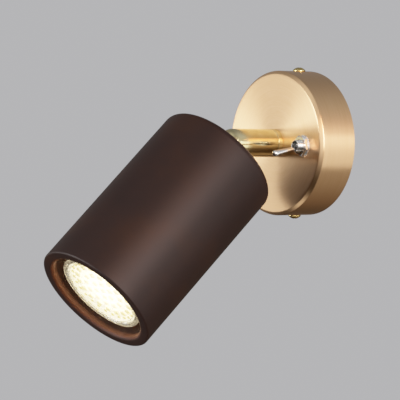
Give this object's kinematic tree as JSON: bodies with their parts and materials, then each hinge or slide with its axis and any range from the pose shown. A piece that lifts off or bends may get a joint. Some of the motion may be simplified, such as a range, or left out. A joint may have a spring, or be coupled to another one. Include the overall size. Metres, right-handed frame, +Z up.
{
  "type": "wall spotlight",
  "caption": "Wall spotlight: round brushed-brass cup with a toggle switch, a short swivel arm and a tilting dark-brown cylindrical head with a recessed GU10 lamp.",
  "frame": {"origin": "middle of the wall bracket's back, on the wall plane and on the arm's swivel axis", "axes": "+Y into the wall, -Y out into the room along the arm, +Z up, +X to the right as seen from the room"},
  "size_m": [0.08, 0.1667, 0.1505],
  "materials": {
    "brushed_brass": "spun and brushed, satin lacquer",
    "polished_brass": "polished",
    "brass_screw": "bright plated",
    "brown_paint": "satin dark-brown coat on aluminium",
    "chrome": "nickel plated, bright",
    "zinc_steel": "zinc plated",
    "terminal_brass": "plain",
    "black_plastic": "moulded",
    "natural_plastic": "moulded, natural",
    "ceramic": "unglazed white ceramic",
    "lamp_shell": "moulded white",
    "clear_glass": "clear",
    "white_board": "white solder mask",
    "led_chip": "phosphor, lit",
    "brown_lead": "insulation",
    "blue_lead": "insulation",
    "earth_lead": "insulation",
    "cable_sheath": "flexible sheath"
  },
  "bodies": {
    "base": {"wall_cup": "brushed_brass", "wall_bracket": "zinc_steel", "cup_screws": "brass_screw", "terminal_block": "natural_plastic", "terminal_screws": "zinc_steel", "block_screw": "zinc_steel", "earth_lug": "terminal_brass", "earth_screw": "terminal_brass", "switch_body": "black_plastic", "switch_terminals": "terminal_brass", "switch_bushing": "chrome", "switch_washer": "chrome", "switch_nut": "chrome", "live_lead": "brown_lead", "switched_lead": "brown_lead", "neutral_lead": "blue_lead", "earth_lead": "earth_lead", "swivel_seat": "polished_brass", "stop_stud": "zinc_steel"},
    "arm": {"arm_nipple": "zinc_steel", "friction_washer": "zinc_steel", "stop_washer": "zinc_steel", "nipple_nut": "zinc_steel", "arm_tube": "polished_brass", "pivot_pins": "polished_brass", "arm_cable": "cable_sheath"},
    "head": {"knuckle": "polished_brass", "head_shell": "brown_paint", "holder_bracket": "zinc_steel", "knuckle_washer": "zinc_steel", "knuckle_nut": "zinc_steel", "lamp_holder": "ceramic", "holder_screws": "zinc_steel", "head_cable": "cable_sheath", "head_leads": "brown_lead"},
    "lamp": {"lamp_reflector": "lamp_shell", "lamp_base": "ceramic", "lamp_pins": "terminal_brass", "lamp_glass": "clear_glass", "led_board": "white_board", "led_chips": "led_chip"},
    "toggle": {"toggle_lever": "chrome"}
  },
  "joints": [
    {"name": "arm_swivel", "type": "hinge", "parent": "base", "child": "arm", "pos_m": [0, -0.054, 0], "axis": [0, -1, 0], "range_deg": [-165, 165]},
    {"name": "head_tilt", "type": "hinge", "parent": "arm", "child": "head", "pos_m": [0, -0.054, 0], "axis": [1, 0, 0], "range_deg": [-43, 27]},
    {"name": "lamp_twist", "type": "hinge", "parent": "head", "child": "lamp", "pos_m": [0, -0.054, 0], "axis": [0, -0.7314, -0.682], "range_deg": [0, 25]},
    {"name": "toggle_flip", "type": "hinge", "parent": "base", "child": "toggle", "pos_m": [0.0245, -0.023, -0.0004], "axis": [-1, 0, 0], "range_deg": [0, 23]}
  ]
}
